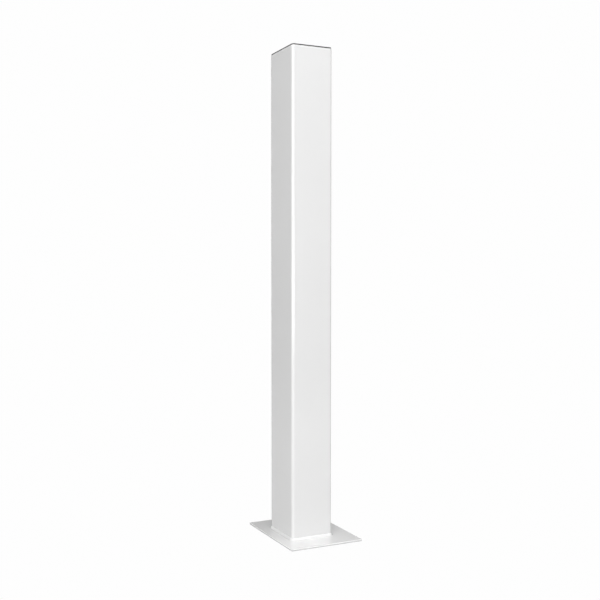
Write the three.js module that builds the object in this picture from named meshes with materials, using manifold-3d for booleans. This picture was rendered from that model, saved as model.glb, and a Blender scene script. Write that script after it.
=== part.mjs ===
// A square-tube newel post: a welded steel tube on a flat base plate, closed by a push-in end cap.
// Millimetres, +Z up. The origin is the centre of the base plate's underside.
import * as THREE from "three";
import { ParametricGeometry } from "three/addons/geometries/ParametricGeometry.js";
import { mergeVertices } from "three/addons/utils/BufferGeometryUtils.js";
import Module from "manifold-3d";

// Tube: cold-formed square hollow section, cut square at both ends
const tubeSide = 100;
const tubeWall = 3;
const tubeCornerRadius = 6.5;
const tubeLength = 1071;

// Base plate: flat bar, with the tube set nearer its -X edge
const plateWidth = 176;
const plateDepth = 200;
const plateThickness = 4;
const plateCornerRadius = 3;
const plateEdgeRound = 0.8;
const tubeToPlateCentre = 8;

// Fillet weld all round the foot of the tube, slightly crowned across its face
const weldRise = 5;
const weldReach = 3.8;
const weldCrown = 0.5;

// End cap: a thin flange that sits on the tube's end, and a skirt that fits the bore
const capFlange = 2.6;
const capInset = 0.8;
const capEdgeRound = 0.3;
const capSkirtDepth = 18;
const capSkirtWall = 2;
const capSkirtInnerRadius = 0.7;
const capSkirtClearance = 0.3;
const capRimChamfer = 0.6;

// How many flats stand for a round corner, and for the weld's face
const cornerFlats = 8;
const weldFlats = 6;

const plateTop = plateThickness;
const tubeTop = plateTop + tubeLength;
const boreSide = tubeSide - 2 * tubeWall;
const boreRadius = tubeCornerRadius - tubeWall;

// An arc is divided into twice this many flats
const curveSegments = cornerFlats / 2;

const whiteCoat = new THREE.MeshStandardMaterial({ color: 0xe9eaea, roughness: 0.3, metalness: 0 });
const capPlastic = new THREE.MeshStandardMaterial({ color: 0x2b2c2e, roughness: 0.55, metalness: 0 });

const wasm = await Module();
wasm.setup();

function roundedRectangle(width, depth, radius) {
  const x = width / 2 - radius;
  const y = depth / 2 - radius;
  const shape = new THREE.Shape();
  shape.absarc(x, y, radius, 0, 0.5 * Math.PI);
  shape.absarc(-x, y, radius, 0.5 * Math.PI, Math.PI);
  shape.absarc(-x, -y, radius, Math.PI, 1.5 * Math.PI);
  shape.absarc(x, -y, radius, 1.5 * Math.PI, 2 * Math.PI);
  return shape;
}

// An extrusion standing on z = 0, with its edges eased by the given amount inside the stated size.
function easedExtrusion(shape, height, ease, bevelSegments) {
  const geometry = new THREE.ExtrudeGeometry(shape, {
    depth: height - 2 * ease,
    curveSegments,
    bevelThickness: ease,
    bevelSize: ease,
    bevelOffset: -ease,
    bevelSegments,
  });
  return geometry.translate(0, 0, ease);
}

// A closed ring round a square with round corners. Section points are [distance out from it, height].
function ringAround(side, radius, section) {
  const loops = section.map(([out]) => {
    return roundedRectangle(side + 2 * out, side + 2 * out, radius + out).getPoints(curveSegments);
  });
  const around = loops[0].length;
  const surface = (u, v, target) => {
    const k = Math.round(v * section.length) % section.length;
    const { x, y } = loops[k][Math.round(u * around) % around];
    target.set(x, y, section[k][1]);
  };
  return new ParametricGeometry(surface, around, section.length);
}

function toSolid(geometry) {
  const bare = geometry.clone();
  bare.deleteAttribute("normal");
  bare.deleteAttribute("uv");
  const merged = mergeVertices(bare, 1e-4);
  const mesh = new wasm.Mesh({
    numProp: 3,
    vertProperties: new Float32Array(merged.attributes.position.array),
    triVerts: new Uint32Array(merged.index.array),
  });
  return new wasm.Manifold(mesh);
}

function toGeometry(solid) {
  const { vertProperties, triVerts } = solid.getMesh();
  const geometry = new THREE.BufferGeometry();
  geometry.setAttribute("position", new THREE.BufferAttribute(vertProperties, 3));
  geometry.setIndex(new THREE.BufferAttribute(triVerts, 1));
  geometry.computeVertexNormals();
  return geometry;
}

function makePiece(name, geometry, material, height) {
  const mesh = new THREE.Mesh(geometry, material);
  mesh.name = name;
  mesh.position.z = height;
  return mesh;
}

function makeBasePlate() {
  const outline = roundedRectangle(plateWidth, plateDepth, plateCornerRadius);
  const plate = easedExtrusion(outline, plateThickness, plateEdgeRound, 3);
  return makePiece("base_plate", plate, whiteCoat, 0);
}

// Two lengths end to end in one body, so that the upper flat of each side is clear of the weld.
function makeTube() {
  const section = roundedRectangle(tubeSide, tubeSide, tubeCornerRadius);
  section.holes.push(roundedRectangle(boreSide, boreSide, boreRadius));
  const tube = new THREE.ExtrudeGeometry(section, {
    depth: tubeLength,
    steps: 2,
    curveSegments,
    bevelEnabled: false,
  });
  return makePiece("tube", tube, whiteCoat, plateTop);
}

// The weld's face is a shallow arc between its two toes, raised above the straight line by weldCrown.
function makeWeldBead() {
  const section = [[0, 0], [weldReach, 0]];
  for (let step = 1; step < weldFlats; step++) {
    const along = step / weldFlats;
    const raised = (weldCrown * Math.sin(Math.PI * along)) / Math.hypot(weldReach, weldRise);
    section.push([weldReach * (1 - along) + raised * weldRise, weldRise * along + raised * weldReach]);
  }
  section.push([0, weldRise]);
  return makePiece("weld_bead", ringAround(tubeSide, tubeCornerRadius, section), whiteCoat, plateTop);
}

// The flange covers the tube's end. The skirt runs up into the flange, so that the two are one body.
function makeEndCap() {
  const flangeSide = tubeSide - 2 * capInset;
  const flangeOutline = roundedRectangle(flangeSide, flangeSide, tubeCornerRadius - capInset);
  const flange = easedExtrusion(flangeOutline, capFlange, capEdgeRound, 3);

  const skirtSide = boreSide - 2 * capSkirtClearance;
  const innerSide = skirtSide - 2 * capSkirtWall;
  const skirtSection = roundedRectangle(skirtSide, skirtSide, boreRadius - capSkirtClearance);
  skirtSection.holes.push(roundedRectangle(innerSide, innerSide, capSkirtInnerRadius));
  const skirtHeight = capSkirtDepth + 0.75 * capFlange;
  const skirt = easedExtrusion(skirtSection, skirtHeight, capRimChamfer, 1);
  skirt.translate(0, 0, -capSkirtDepth);

  const cap = toSolid(flange).add(toSolid(skirt));
  return makePiece("end_cap", toGeometry(cap), capPlastic, tubeTop);
}

const upright = new THREE.Group();
upright.position.x = -tubeToPlateCentre;
upright.add(makeTube(), makeWeldBead(), makeEndCap());

const newelPost = new THREE.Group();
newelPost.add(makeBasePlate(), upright);

export default newelPost;
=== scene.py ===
import math

import bmesh
import bpy
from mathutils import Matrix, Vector, noise


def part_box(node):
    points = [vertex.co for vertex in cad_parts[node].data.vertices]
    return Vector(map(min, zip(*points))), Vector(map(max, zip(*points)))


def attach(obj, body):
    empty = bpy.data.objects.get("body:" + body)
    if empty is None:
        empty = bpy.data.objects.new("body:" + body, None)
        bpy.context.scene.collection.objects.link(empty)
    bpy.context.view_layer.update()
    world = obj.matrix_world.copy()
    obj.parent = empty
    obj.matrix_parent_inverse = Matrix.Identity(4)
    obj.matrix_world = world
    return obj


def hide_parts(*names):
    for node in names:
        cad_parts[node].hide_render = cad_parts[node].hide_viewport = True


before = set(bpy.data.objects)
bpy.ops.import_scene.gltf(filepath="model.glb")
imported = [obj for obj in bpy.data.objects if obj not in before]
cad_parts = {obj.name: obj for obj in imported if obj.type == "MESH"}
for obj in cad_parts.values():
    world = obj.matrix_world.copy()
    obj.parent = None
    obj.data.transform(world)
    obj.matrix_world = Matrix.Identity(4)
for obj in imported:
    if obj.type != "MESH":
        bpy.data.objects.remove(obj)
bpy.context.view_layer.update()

print("frame loaded:", ", ".join(sorted(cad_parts)))

tubeLow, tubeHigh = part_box("tube")
plateLow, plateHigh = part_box("base_plate")
weldLow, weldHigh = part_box("weld_bead")
capLow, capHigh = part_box("end_cap")
tubeCentre = (tubeLow + tubeHigh) / 2


# Camera: in front of the post and to its left, level with its middle, as in the photograph

cameraLook = {
    "location": (-0.9138, -1.5537, 0.5883),
    "headingDeg": 21.605,
    "tiltDownDeg": 1.950,
    "rollDeg": 0.290,
    "lens": 47.701,
    "sensorWidth": 36,
    "shiftX": 0.2,  # the lens axis passes to the left of the post
}


def addCamera(look):
    data = bpy.data.cameras.new("post camera")
    data.lens = look["lens"]
    data.sensor_width = look["sensorWidth"]
    data.shift_x = look["shiftX"]
    camera = bpy.data.objects.new("post camera", data)
    camera.location = look["location"]
    camera.rotation_euler = (
        math.radians(90 - look["tiltDownDeg"]),
        math.radians(look["rollDeg"]),
        math.radians(-look["headingDeg"]),
    )
    bpy.context.scene.collection.objects.link(camera)
    bpy.context.scene.camera = camera


addCamera(cameraLook)
bpy.context.scene.view_settings.view_transform = "Standard"
print("camera placed")


# Studio: a pale floor that runs out into a white surround. Two tall soft boxes stand near the corner that
# faces the camera and one hangs overhead. A high one on the right and a far one at the back left brighten
# the weld and the plate's edges, and two small low ones light the foot.

studio = {
    "floorSize": 30.0,
    "floorColour": (0.6, 0.6, 0.6),
    "floorRoughness": 0.9,
    "floorSeen": 0.99,  # how bright the camera sees the floor, whatever light falls on it
    "surroundSeen": 0.99,
    "horizonLight": 0.29,
    "zenithLight": 0.43,
    "zenithFrom": 0.7,  # sine of the height above the horizon where the zenith's light is reached
    "aimHeight": 0.5,
}

softBoxes = {
    "front box": {"at": (-0.83, -2.26, 1.35), "size": (0.9, 2.2), "watts": 5.2},
    "corner box": {"at": (-1.70, -1.70, 1.35), "size": (1.2, 2.2), "watts": 27.2},
    "overhead box": {"at": (0.0, -0.35, 2.7), "size": (1.0, 0.6), "watts": 25.0},
    "high right box": {"at": (1.45, -1.0, 2.45), "size": (0.9, 0.9), "watts": 6.4},
    "back left box": {"at": (-8.6, 17.4, 10.4), "size": (4.0, 4.0), "watts": 44.0},
    "low front box": {"at": (0.2, -2.2, 0.5), "size": (1.2, 0.6), "watts": 5.8},
    "low side box": {"at": (-1.9, -1.0, 0.4), "size": (1.0, 0.5), "watts": 4.2},
}

white = (1, 1, 1, 1)


def setInputs(node, values):
    for label, value in values.items():
        node.inputs[label].default_value = value


def splitRays(tree, seen, lighting, target):
    # The camera sees one shader, and all other rays meet the other one
    rays = tree.nodes.new("ShaderNodeLightPath")
    mix = tree.nodes.new("ShaderNodeMixShader")
    tree.links.new(rays.outputs["Is Camera Ray"], mix.inputs["Fac"])
    tree.links.new(lighting, mix.inputs[1])
    tree.links.new(seen, mix.inputs[2])
    tree.links.new(mix.outputs["Shader"], target)


def addSoftBox(name, box, target):
    data = bpy.data.lights.new(name, "AREA")
    data.shape = "RECTANGLE"
    data.size, data.size_y = box["size"]
    data.energy = box["watts"]
    light = bpy.data.objects.new(name, data)
    light.location = box["at"]
    aim = Vector(target) - light.location
    light.rotation_euler = aim.to_track_quat("-Z", "Y").to_euler()
    light.visible_camera = False
    bpy.context.scene.collection.objects.link(light)


def addSurround(values):
    # The light rises from the horizon to the zenith
    world = bpy.data.worlds.new("white surround")
    world.use_nodes = True
    tree = world.node_tree
    nodes, links = tree.nodes, tree.links
    nodes.clear()
    output = nodes.new("ShaderNodeOutputWorld")
    direction = nodes.new("ShaderNodeTexCoord")
    axes = nodes.new("ShaderNodeSeparateXYZ")
    fade = nodes.new("ShaderNodeMapRange")
    setInputs(fade, {
        "From Max": values["zenithFrom"], "To Min": values["horizonLight"], "To Max": values["zenithLight"],
    })
    lighting = nodes.new("ShaderNodeBackground")
    setInputs(lighting, {"Color": white})
    seen = nodes.new("ShaderNodeBackground")
    setInputs(seen, {"Color": white, "Strength": values["surroundSeen"]})
    links.new(direction.outputs["Generated"], axes.inputs["Vector"])
    links.new(axes.outputs["Z"], fade.inputs["Value"])
    links.new(fade.outputs["Result"], lighting.inputs["Strength"])
    splitRays(tree, seen.outputs["Background"], lighting.outputs["Background"], output.inputs["Surface"])
    bpy.context.scene.world = world


def addFloor(values):
    bm = bmesh.new()
    bmesh.ops.create_grid(bm, x_segments=1, y_segments=1, size=values["floorSize"] / 2)
    mesh = bpy.data.meshes.new("floor")
    bm.to_mesh(mesh)
    bm.free()
    floor = bpy.data.objects.new("floor", mesh)
    bpy.context.scene.collection.objects.link(floor)

    material = bpy.data.materials.new("pale floor")
    material.use_nodes = True
    tree = material.node_tree
    surface = tree.nodes["Principled BSDF"]
    setInputs(surface, {
        "Base Color": (*values["floorColour"], 1), "Roughness": values["floorRoughness"],
        "Specular IOR Level": 0.0,
    })
    seen = tree.nodes.new("ShaderNodeEmission")
    setInputs(seen, {"Color": white, "Strength": values["floorSeen"]})
    target = tree.nodes["Material Output"].inputs["Surface"]
    splitRays(tree, seen.outputs["Emission"], surface.outputs["BSDF"], target)
    mesh.materials.append(material)


addSurround(studio)
addFloor(studio)
for name, box in softBoxes.items():
    addSoftBox(name, box, (tubeCentre.x, tubeCentre.y, studio["aimHeight"]))
print("studio lit")


# Node groups that the white coat and the cap's plastic share

# Which sockets of a Mix node are its share, its two inputs and its result
mixSockets = {"FLOAT": (0, 2, 3, 0), "RGBA": (0, 6, 7, 2)}


def addMix(nodes, kind):
    mix = nodes.new("ShaderNodeMix")
    mix.data_type = kind
    share, first, second, result = mixSockets[kind]
    return mix.inputs[share], mix.inputs[first], mix.inputs[second], mix.outputs[result]


def newGroup(name, inputs, outputs):
    group = bpy.data.node_groups.new(name, "ShaderNodeTree")
    for label, kind, value in inputs:
        socket = group.interface.new_socket(label, in_out="INPUT", socket_type=kind)
        socket.default_value = value
    for label, kind in outputs:
        group.interface.new_socket(label, in_out="OUTPUT", socket_type=kind)
    start = group.nodes.new("NodeGroupInput")
    end = group.nodes.new("NodeGroupOutput")
    return group, start, end


def makeSwellGroup():
    # Height of a sprayed or moulded skin: small rounded swells on a slower wave, and a few fine nibs
    group, start, end = newGroup(
        "skin swells",
        [
            ("Vector", "NodeSocketVector", (0, 0, 0)),
            ("Swell Scale", "NodeSocketFloat", 500.0),
            ("Wave Scale", "NodeSocketFloat", 9.0),
            ("Wave Share", "NodeSocketFloat", 0.5),
            ("Nib Scale", "NodeSocketFloat", 55.0),
            ("Nib Height", "NodeSocketFloat", 0.5),
        ],
        [("Height", "NodeSocketFloat")],
    )
    nodes, links = group.nodes, group.links
    swell = nodes.new("ShaderNodeTexNoise")
    setInputs(swell, {"Detail": 1.5, "Roughness": 0.4})
    wave = nodes.new("ShaderNodeTexNoise")
    setInputs(wave, {"Detail": 1.0})
    share, first, second, mixed = addMix(nodes, "FLOAT")
    grain = nodes.new("ShaderNodeTexVoronoi")
    nib = nodes.new("ShaderNodeMapRange")
    nib.interpolation_type = "SMOOTHSTEP"
    setInputs(nib, {"From Max": 0.03, "To Max": 0.0})
    total = nodes.new("ShaderNodeMath")
    total.operation = "ADD"
    links.new(start.outputs["Vector"], grain.inputs["Vector"])
    links.new(start.outputs["Nib Scale"], grain.inputs["Scale"])
    links.new(grain.outputs["Distance"], nib.inputs["Value"])
    links.new(start.outputs["Nib Height"], nib.inputs["To Min"])
    links.new(start.outputs["Vector"], swell.inputs["Vector"])
    links.new(start.outputs["Swell Scale"], swell.inputs["Scale"])
    links.new(start.outputs["Vector"], wave.inputs["Vector"])
    links.new(start.outputs["Wave Scale"], wave.inputs["Scale"])
    links.new(start.outputs["Wave Share"], share)
    links.new(swell.outputs["Fac"], first)
    links.new(wave.outputs["Fac"], second)
    links.new(mixed, total.inputs[0])
    links.new(nib.outputs["Result"], total.inputs[1])
    links.new(total.outputs["Value"], end.inputs["Height"])
    return group


def makeToneGroup():
    # Slow drift of colour and gloss over the surface
    group, start, end = newGroup(
        "tone drift",
        [
            ("Vector", "NodeSocketVector", (0, 0, 0)),
            ("Light Tone", "NodeSocketColor", (0.8, 0.8, 0.8, 1)),
            ("Dark Tone", "NodeSocketColor", (0.7, 0.7, 0.7, 1)),
            ("Smooth", "NodeSocketFloat", 0.2),
            ("Dull", "NodeSocketFloat", 0.3),
            ("Drift Scale", "NodeSocketFloat", 7.0),
        ],
        [("Color", "NodeSocketColor"), ("Roughness", "NodeSocketFloat")],
    )
    nodes, links = group.nodes, group.links
    drift = nodes.new("ShaderNodeTexNoise")
    setInputs(drift, {"Detail": 3.0})
    gloss = nodes.new("ShaderNodeTexNoise")
    setInputs(gloss, {"Detail": 4.0, "Scale": 38.0})
    share, first, second, colour = addMix(nodes, "RGBA")
    rough = nodes.new("ShaderNodeMapRange")
    setInputs(rough, {"From Min": 0.3, "From Max": 0.7})
    links.new(start.outputs["Vector"], drift.inputs["Vector"])
    links.new(start.outputs["Vector"], gloss.inputs["Vector"])
    links.new(start.outputs["Drift Scale"], drift.inputs["Scale"])
    links.new(drift.outputs["Fac"], share)
    links.new(start.outputs["Light Tone"], first)
    links.new(start.outputs["Dark Tone"], second)
    links.new(gloss.outputs["Fac"], rough.inputs["Value"])
    links.new(start.outputs["Smooth"], rough.inputs["To Min"])
    links.new(start.outputs["Dull"], rough.inputs["To Max"])
    links.new(colour, end.inputs["Color"])
    links.new(rough.outputs["Result"], end.inputs["Roughness"])
    return group


def makeEdgeGroup():
    # Highest along the edges of a box, fading to 0 over a band beside them, and a little uneven.
    # The second smallest of the three distances to the box's sides is the distance to its nearest edge.
    group, start, end = newGroup(
        "near an edge",
        [
            ("Vector", "NodeSocketVector", (0, 0, 0)),
            ("Centre", "NodeSocketVector", (0, 0, 0)),
            ("Half Size", "NodeSocketVector", (1, 1, 1)),
            ("Band", "NodeSocketFloat", 0.002),
            ("Share", "NodeSocketFloat", 0.5),
            ("Patch Scale", "NodeSocketFloat", 60.0),
        ],
        [("Mask", "NodeSocketFloat")],
    )
    nodes, links = group.nodes, group.links

    def vectorStep(operation, first, second=None):
        step = nodes.new("ShaderNodeVectorMath")
        step.operation = operation
        links.new(first, step.inputs[0])
        if second is not None:
            links.new(second, step.inputs[1])
        return step.outputs["Vector"]

    def numberStep(operation, first, second):
        step = nodes.new("ShaderNodeMath")
        step.operation = operation
        links.new(first, step.inputs[0])
        links.new(second, step.inputs[1])
        return step.outputs["Value"]

    offset = vectorStep("SUBTRACT", start.outputs["Vector"], start.outputs["Centre"])
    fromCentre = vectorStep("ABSOLUTE", offset)
    inside = nodes.new("ShaderNodeSeparateXYZ")
    links.new(vectorStep("SUBTRACT", start.outputs["Half Size"], fromCentre), inside.inputs["Vector"])
    x, y, z = inside.outputs
    nearer, further = numberStep("MINIMUM", x, y), numberStep("MAXIMUM", x, y)
    toEdge = numberStep("MAXIMUM", nearer, numberStep("MINIMUM", further, z))
    fade = nodes.new("ShaderNodeMapRange")
    fade.interpolation_type = "SMOOTHSTEP"
    setInputs(fade, {"To Max": 0.0})
    links.new(toEdge, fade.inputs["Value"])
    links.new(start.outputs["Band"], fade.inputs["From Max"])
    links.new(start.outputs["Share"], fade.inputs["To Min"])
    patches = nodes.new("ShaderNodeTexNoise")
    setInputs(patches, {"Detail": 3.0})
    uneven = nodes.new("ShaderNodeMapRange")
    setInputs(uneven, {"From Min": 0.25, "From Max": 0.6, "To Min": 0.85})
    links.new(start.outputs["Vector"], patches.inputs["Vector"])
    links.new(start.outputs["Patch Scale"], patches.inputs["Scale"])
    links.new(patches.outputs["Fac"], uneven.inputs["Value"])
    mask = numberStep("MULTIPLY", fade.outputs["Result"], uneven.outputs["Result"])
    links.new(mask, end.inputs["Mask"])
    return group


skinSwells = makeSwellGroup()
toneDrift = makeToneGroup()
nearEdge = makeEdgeGroup()

bandsBeyond = 4  # how many bands a mask's box runs past the rim that the mask leaves alone


def makeSkin(name, look, low, high):
    material = bpy.data.materials.new(name)
    material.use_nodes = True
    nodes, links = material.node_tree.nodes, material.node_tree.links
    surface = nodes["Principled BSDF"]
    setInputs(surface, {
        "IOR": look["ior"], "Coat Weight": look["coat"], "Coat Roughness": look["coatRoughness"],
    })
    place = nodes.new("ShaderNodeTexCoord")

    tone = nodes.new("ShaderNodeGroup")
    tone.node_tree = toneDrift
    setInputs(tone, {
        "Light Tone": (*look["lightTone"], 1), "Dark Tone": (*look["darkTone"], 1),
        "Smooth": look["smooth"], "Dull": look["dull"], "Drift Scale": look["driftScale"],
    })

    swells = nodes.new("ShaderNodeGroup")
    swells.node_tree = skinSwells
    setInputs(swells, {
        "Swell Scale": look["swellScale"], "Wave Scale": look["waveScale"], "Wave Share": look["waveShare"],
        "Nib Height": look["nibHeight"],
    })
    bump = nodes.new("ShaderNodeBump")
    setInputs(bump, {"Strength": look["bumpStrength"], "Distance": look["bumpDistance"]})

    links.new(place.outputs["Object"], tone.inputs["Vector"])
    links.new(place.outputs["Object"], swells.inputs["Vector"])
    links.new(swells.outputs["Height"], bump.inputs["Height"])

    def addEdge(lowest, highest, edge, base):
        near = nodes.new("ShaderNodeGroup")
        near.node_tree = nearEdge
        setInputs(near, {
            "Centre": (lowest + highest) / 2, "Half Size": (highest - lowest) / 2,
            "Band": look[edge + "Band"], "Share": look[edge + "Share"],
        })
        share, first, second, colour = addMix(nodes, "RGBA")
        second.default_value = (*look[edge + "Tone"], 1)
        links.new(place.outputs["Object"], near.inputs["Vector"])
        links.new(near.outputs["Mask"], share)
        links.new(base, first)
        return near.outputs["Mask"], colour

    # With a lower edge of its own, the first mask keeps to the upper rim and the second to the lower one
    beyond = Vector((0, 0, look.get("lowerBand", 0) * bandsBeyond))
    mask, colour = addEdge(low - beyond, high, "edge", tone.outputs["Color"])
    # The second mask paints shade along the lower edge
    if "lowerBand" in look:
        _, colour = addEdge(low, high + beyond, "lower", colour)
    share, first, second, rough = addMix(nodes, "FLOAT")
    second.default_value = look["edgeRoughness"]
    links.new(mask, share)
    links.new(tone.outputs["Roughness"], first)
    links.new(colour, surface.inputs["Base Color"])
    links.new(rough, surface.inputs["Roughness"])
    links.new(bump.outputs["Normal"], surface.inputs["Normal"])
    return material


# White powder coat of the tube, plate and weld. Along their edges its colour is painted whiter, a painted
# highlight that widens the bright rounded edges, and the coat is smoother there.
whiteCoat = {
    "lightTone": (0.835, 0.835, 0.833), "edgeTone": (0.88, 0.88, 0.878),
    "smooth": 0.14, "dull": 0.24, "edgeRoughness": 0.12, "ior": 1.5, "coat": 1.0, "coatRoughness": 0.03,
    "bumpDistance": 0.0006, "nibHeight": 0.5,
}
print("node groups made")


# Modelling helpers

steepAngle = math.radians(50)  # edges steeper than this are rounded
touching = 1e-5  # points nearer than this are one


def pick(items, kind):
    return [item for item in items if isinstance(item, kind)]


def roundedSheet(low, high, radius, steps, z):
    # One flat face with round corners, to be inset and extruded. It starts as a square 1 m wide.
    bm = bmesh.new()
    bmesh.ops.create_grid(bm, x_segments=1, y_segments=1, size=0.5)
    bmesh.ops.scale(bm, vec=(high.x - low.x, high.y - low.y, 1), verts=bm.verts[:])
    middle = ((low.x + high.x) / 2, (low.y + high.y) / 2, z)
    bmesh.ops.translate(bm, vec=middle, verts=bm.verts[:])
    bmesh.ops.bevel(bm, geom=bm.verts[:], offset=radius, offset_type="OFFSET", segments=steps,
                    profile=0.5, affect="VERTICES", material=-1)
    return bm


def pullUp(bm, faces, height):
    made = bmesh.ops.extrude_face_region(bm, geom=faces)["geom"]
    bmesh.ops.translate(bm, vec=(0, 0, height), verts=pick(made, bmesh.types.BMVert))


def softenRims(bm, width, steps):
    # Rounds every edge where two faces meet at a steep angle
    bm.normal_update()
    steep = [edge for edge in bm.edges if len(edge.link_faces) == 2 and edge.calc_face_angle() > steepAngle]
    bmesh.ops.bevel(bm, geom=steep, offset=width, offset_type="OFFSET", segments=steps,
                    profile=0.5, affect="EDGES", material=-1)


def finishPiece(bm, name, material, node):
    bmesh.ops.recalc_face_normals(bm, faces=bm.faces[:])
    for face in bm.faces:
        face.smooth = True
    mesh = bpy.data.meshes.new(name)
    bm.to_mesh(mesh)
    bm.free()
    piece = bpy.data.objects.new(name, mesh)
    bpy.context.scene.collection.objects.link(piece)
    mesh.materials.append(material)
    shading = piece.modifiers.new("even shading", "WEIGHTED_NORMAL")
    shading.keep_sharp = True
    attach(piece, "root")
    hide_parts(node)


# Tube: square hollow steel with round corners

tube = {
    **whiteCoat,
    "wall": 0.003, "cornerRadius": 0.0065, "cornerSteps": 18, "rim": 0.0007, "rimSteps": 4,
    # The wide edge band spreads the painted highlight across the tube's rounded corners
    "darkTone": (0.80, 0.80, 0.80), "driftScale": 6.0, "edgeBand": 0.006, "edgeShare": 0.9,
    "swellScale": 420.0, "waveScale": 26.0, "waveShare": 0.35, "bumpStrength": 0.10, "coatRoughness": 0.16,
}


def makeTube(values):
    bm = roundedSheet(tubeLow, tubeHigh, values["cornerRadius"], values["cornerSteps"], tubeLow.z)
    outer = bm.faces[:]
    bmesh.ops.inset_region(bm, faces=outer, thickness=values["wall"], use_boundary=True, use_even_offset=True)
    bmesh.ops.delete(bm, geom=outer, context="FACES")
    pullUp(bm, bm.faces[:], tubeHigh.z - tubeLow.z)
    softenRims(bm, values["rim"], values["rimSteps"])
    coat = makeSkin("white coat on the tube", values, tubeLow, tubeHigh)
    finishPiece(bm, "coated_tube", coat, "tube")


makeTube(tube)
print("tube made")


# Base plate: its lower edge is painted greyer, a painted shade on the dimly lit lower edge

plate = {
    **whiteCoat,
    "cornerRadius": 0.003, "cornerSteps": 10, "rim": 0.0012, "rimSteps": 6,
    "darkTone": (0.79, 0.79, 0.79), "driftScale": 14.0,
    # The edge tone here is a painted highlight along the plate's upper rim, its lip
    "edgeTone": (0.93, 0.93, 0.928), "edgeBand": 0.0016, "edgeShare": 0.9,
    # The lower tone is painted shade along the plate's lower edge
    "lowerTone": (0.63, 0.63, 0.63), "lowerBand": 0.0042, "lowerShare": 1.0,
    "swellScale": 380.0, "waveScale": 30.0, "waveShare": 0.3, "bumpStrength": 0.05,
}


def makePlate(values):
    bm = roundedSheet(plateLow, plateHigh, values["cornerRadius"], values["cornerSteps"], plateLow.z)
    pullUp(bm, bm.faces[:], plateHigh.z - plateLow.z)
    softenRims(bm, values["rim"], values["rimSteps"])
    coat = makeSkin("white coat on the plate", values, plateLow, plateHigh)
    finishPiece(bm, "coated_base_plate", coat, "base_plate")


makePlate(plate)
print("base plate made")


# Weld bead: a ring round the foot of the tube

weld = {
    **whiteCoat,
    "rise": 0.005, "reach": 0.0038, "crown": 0.00035, "toeFlow": 0.0011,
    "faceSteps": 14, "sideSteps": 120, "cornerSteps": 16,
    "ripplePitch": 0.0021, "rippleHeight": 0.00010, "rippleBow": 0.9,
    "wander": 0.00012, "wanderLength": 0.014,
    # The weld's tones are painted whiter than the rest of the coat, a painted highlight on the bead
    "lightTone": (0.90, 0.90, 0.898), "darkTone": (0.87, 0.87, 0.87), "driftScale": 40.0,
    "edgeBand": 0.002, "edgeShare": 0.6,
    "swellScale": 520.0, "waveScale": 120.0, "waveShare": 0.5, "bumpStrength": 0.16,
}


def weldSection(values, x, y):
    # Corner, foot toe, face and upper toe, on a plane across the side. The face flows out onto the plate
    # at its foot and is slightly crowned above.
    rise, reach = values["rise"], values["reach"]
    points = [(0, 0), (reach, 0)]
    for step in range(1, values["faceSteps"]):
        along = step / values["faceSteps"]
        bulge = values["crown"] * along - values["toeFlow"] * (1 - along) ** 4
        raised = bulge * math.sin(math.pi * along) / math.hypot(rise, reach)
        points.append((reach * (1 - along) + raised * rise, rise * along + raised * reach))
    points.append((0, rise))
    return [(x + out, y, plateHigh.z + up) for out, up in points]


def rippleWeld(bm, values, core, radius):
    # Soft ripples across the bead and a slow wander of its width; both toes stay on the steel
    rise, reach = values["rise"], values["reach"]
    for vert in bm.verts:
        flat = Vector((vert.co.x - tubeCentre.x, vert.co.y - tubeCentre.y))
        anchor = Vector((max(-core, min(core, flat.x)), max(-core, min(core, flat.y))))
        outward = (flat - anchor).normalized()
        out = (flat - anchor).length - radius
        up = vert.co.z - plateHigh.z
        if out < touching and up < touching:
            continue
        share = (up / rise) / (up / rise + out / reach)
        slow = noise.noise(Vector((flat.x, flat.y, 0)) / values["wanderLength"])
        around = (flat.x - flat.y) if flat.x * flat.y < 0 else (flat.x + flat.y)
        bow = values["rippleBow"] * (2 * share - 1) ** 2
        wave = math.cos(2 * math.pi * (around / values["ripplePitch"] + bow + slow))
        onFace = math.sin(math.pi * share)
        wander = values["wander"] * slow
        push = (values["rippleHeight"] * wave + wander) * onFace / math.hypot(rise, reach)
        moveOut = push * rise + (wander if up < touching else 0)
        moveUp = push * reach + (wander if out < touching else 0)
        vert.co.x += outward.x * moveOut
        vert.co.y += outward.y * moveOut
        vert.co.z += moveUp


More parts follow.
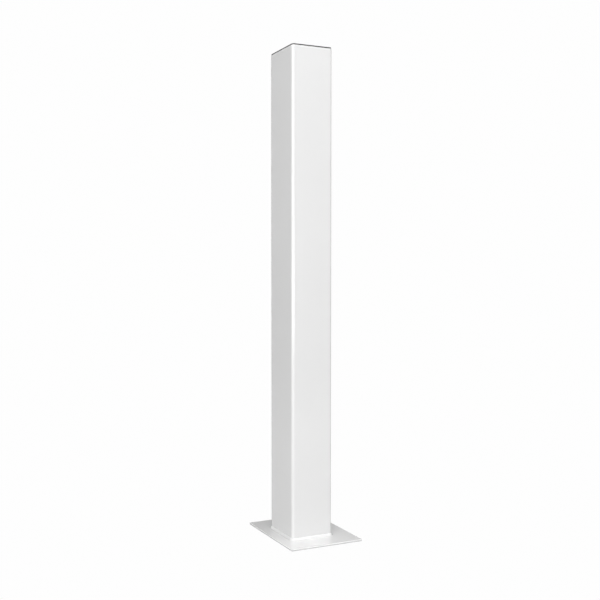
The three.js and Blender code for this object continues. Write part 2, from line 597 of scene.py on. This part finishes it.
def makeWeld(values, radius):
    half = (tubeHigh.x - tubeLow.x) / 2
    core = half - radius
    bm = bmesh.new()
    ring = [bm.verts.new(p) for p in weldSection(values, tubeCentre.x + half, tubeCentre.y - core)]
    loop = [bm.edges.new((a, b)) for a, b in zip(ring, ring[1:] + ring[:1])]
    stride = 2 * core / values["sideSteps"]
    for turn in range(4):
        angle = turn * math.pi / 2
        step = Vector((-math.sin(angle), math.cos(angle), 0)) * stride
        for _ in range(values["sideSteps"]):
            made = bmesh.ops.extrude_edge_only(bm, edges=loop)["geom"]
            verts = pick(made, bmesh.types.BMVert)
            loop = [edge for edge in pick(made, bmesh.types.BMEdge) if all(v in verts for v in edge.verts)]
            bmesh.ops.translate(bm, vec=step, verts=verts)
        diagonal = Vector((math.cos(angle) - math.sin(angle), math.sin(angle) + math.cos(angle), 0))
        corner = tubeCentre + diagonal * core
        section = loop + list(dict.fromkeys(vert for edge in loop for vert in edge.verts))
        spun = bmesh.ops.spin(bm, geom=section, cent=corner, axis=(0, 0, 1), angle=math.pi / 2,
                              steps=values["cornerSteps"], use_duplicate=False)
        loop = pick(spun["geom_last"], bmesh.types.BMEdge)
    bmesh.ops.remove_doubles(bm, verts=bm.verts[:], dist=touching)
    rippleWeld(bm, values, core, radius)
    coat = makeSkin("white coat on the weld", values, weldLow, weldHigh)
    finishPiece(bm, "painted_weld", coat, "weld_bead")


makeWeld(weld, tube["cornerRadius"])
print("weld made")


# End cap: a thin flange, and a skirt that hangs from it inside the tube

cap = {
    "cornerRadius": 0.0057, "cornerSteps": 16,
    "toSkirt": 0.0025, "skirtWall": 0.002, "rim": 0.0003, "rimSteps": 4,
    "lightTone": (0.040, 0.040, 0.043), "darkTone": (0.026, 0.026, 0.028), "edgeTone": (0.075, 0.075, 0.078),
    "smooth": 0.42, "dull": 0.58, "edgeRoughness": 0.34, "ior": 1.49, "coat": 0.0, "coatRoughness": 0.03,
    "bumpDistance": 0.0002, "nibHeight": 0.0, "driftScale": 30.0, "edgeBand": 0.0008, "edgeShare": 0.5,
    "swellScale": 1400.0, "waveScale": 90.0, "waveShare": 0.2, "bumpStrength": 0.35,
}


def makeCap(values):
    bm = roundedSheet(capLow, capHigh, values["cornerRadius"], values["cornerSteps"], tubeHigh.z)
    pullUp(bm, bm.faces[:], capHigh.z - tubeHigh.z)
    bm.normal_update()
    under = [face for face in bm.faces if face.calc_center_median().z < tubeHigh.z + touching]
    bmesh.ops.inset_region(bm, faces=under, thickness=values["toSkirt"], use_even_offset=True)
    inset = bmesh.ops.inset_region(bm, faces=under, thickness=values["skirtWall"], use_even_offset=True)
    ring = inset["faces"]
    pullUp(bm, ring, capLow.z - tubeHigh.z)
    # The faces that the skirt was drawn from are left inside it
    bmesh.ops.delete(bm, geom=[face for face in ring if face.is_valid], context="FACES")
    softenRims(bm, values["rim"], values["rimSteps"])
    plastic = makeSkin("dark cap plastic", values, capLow, capHigh)
    finishPiece(bm, "moulded_cap", plastic, "end_cap")


makeCap(cap)
print("cap made")
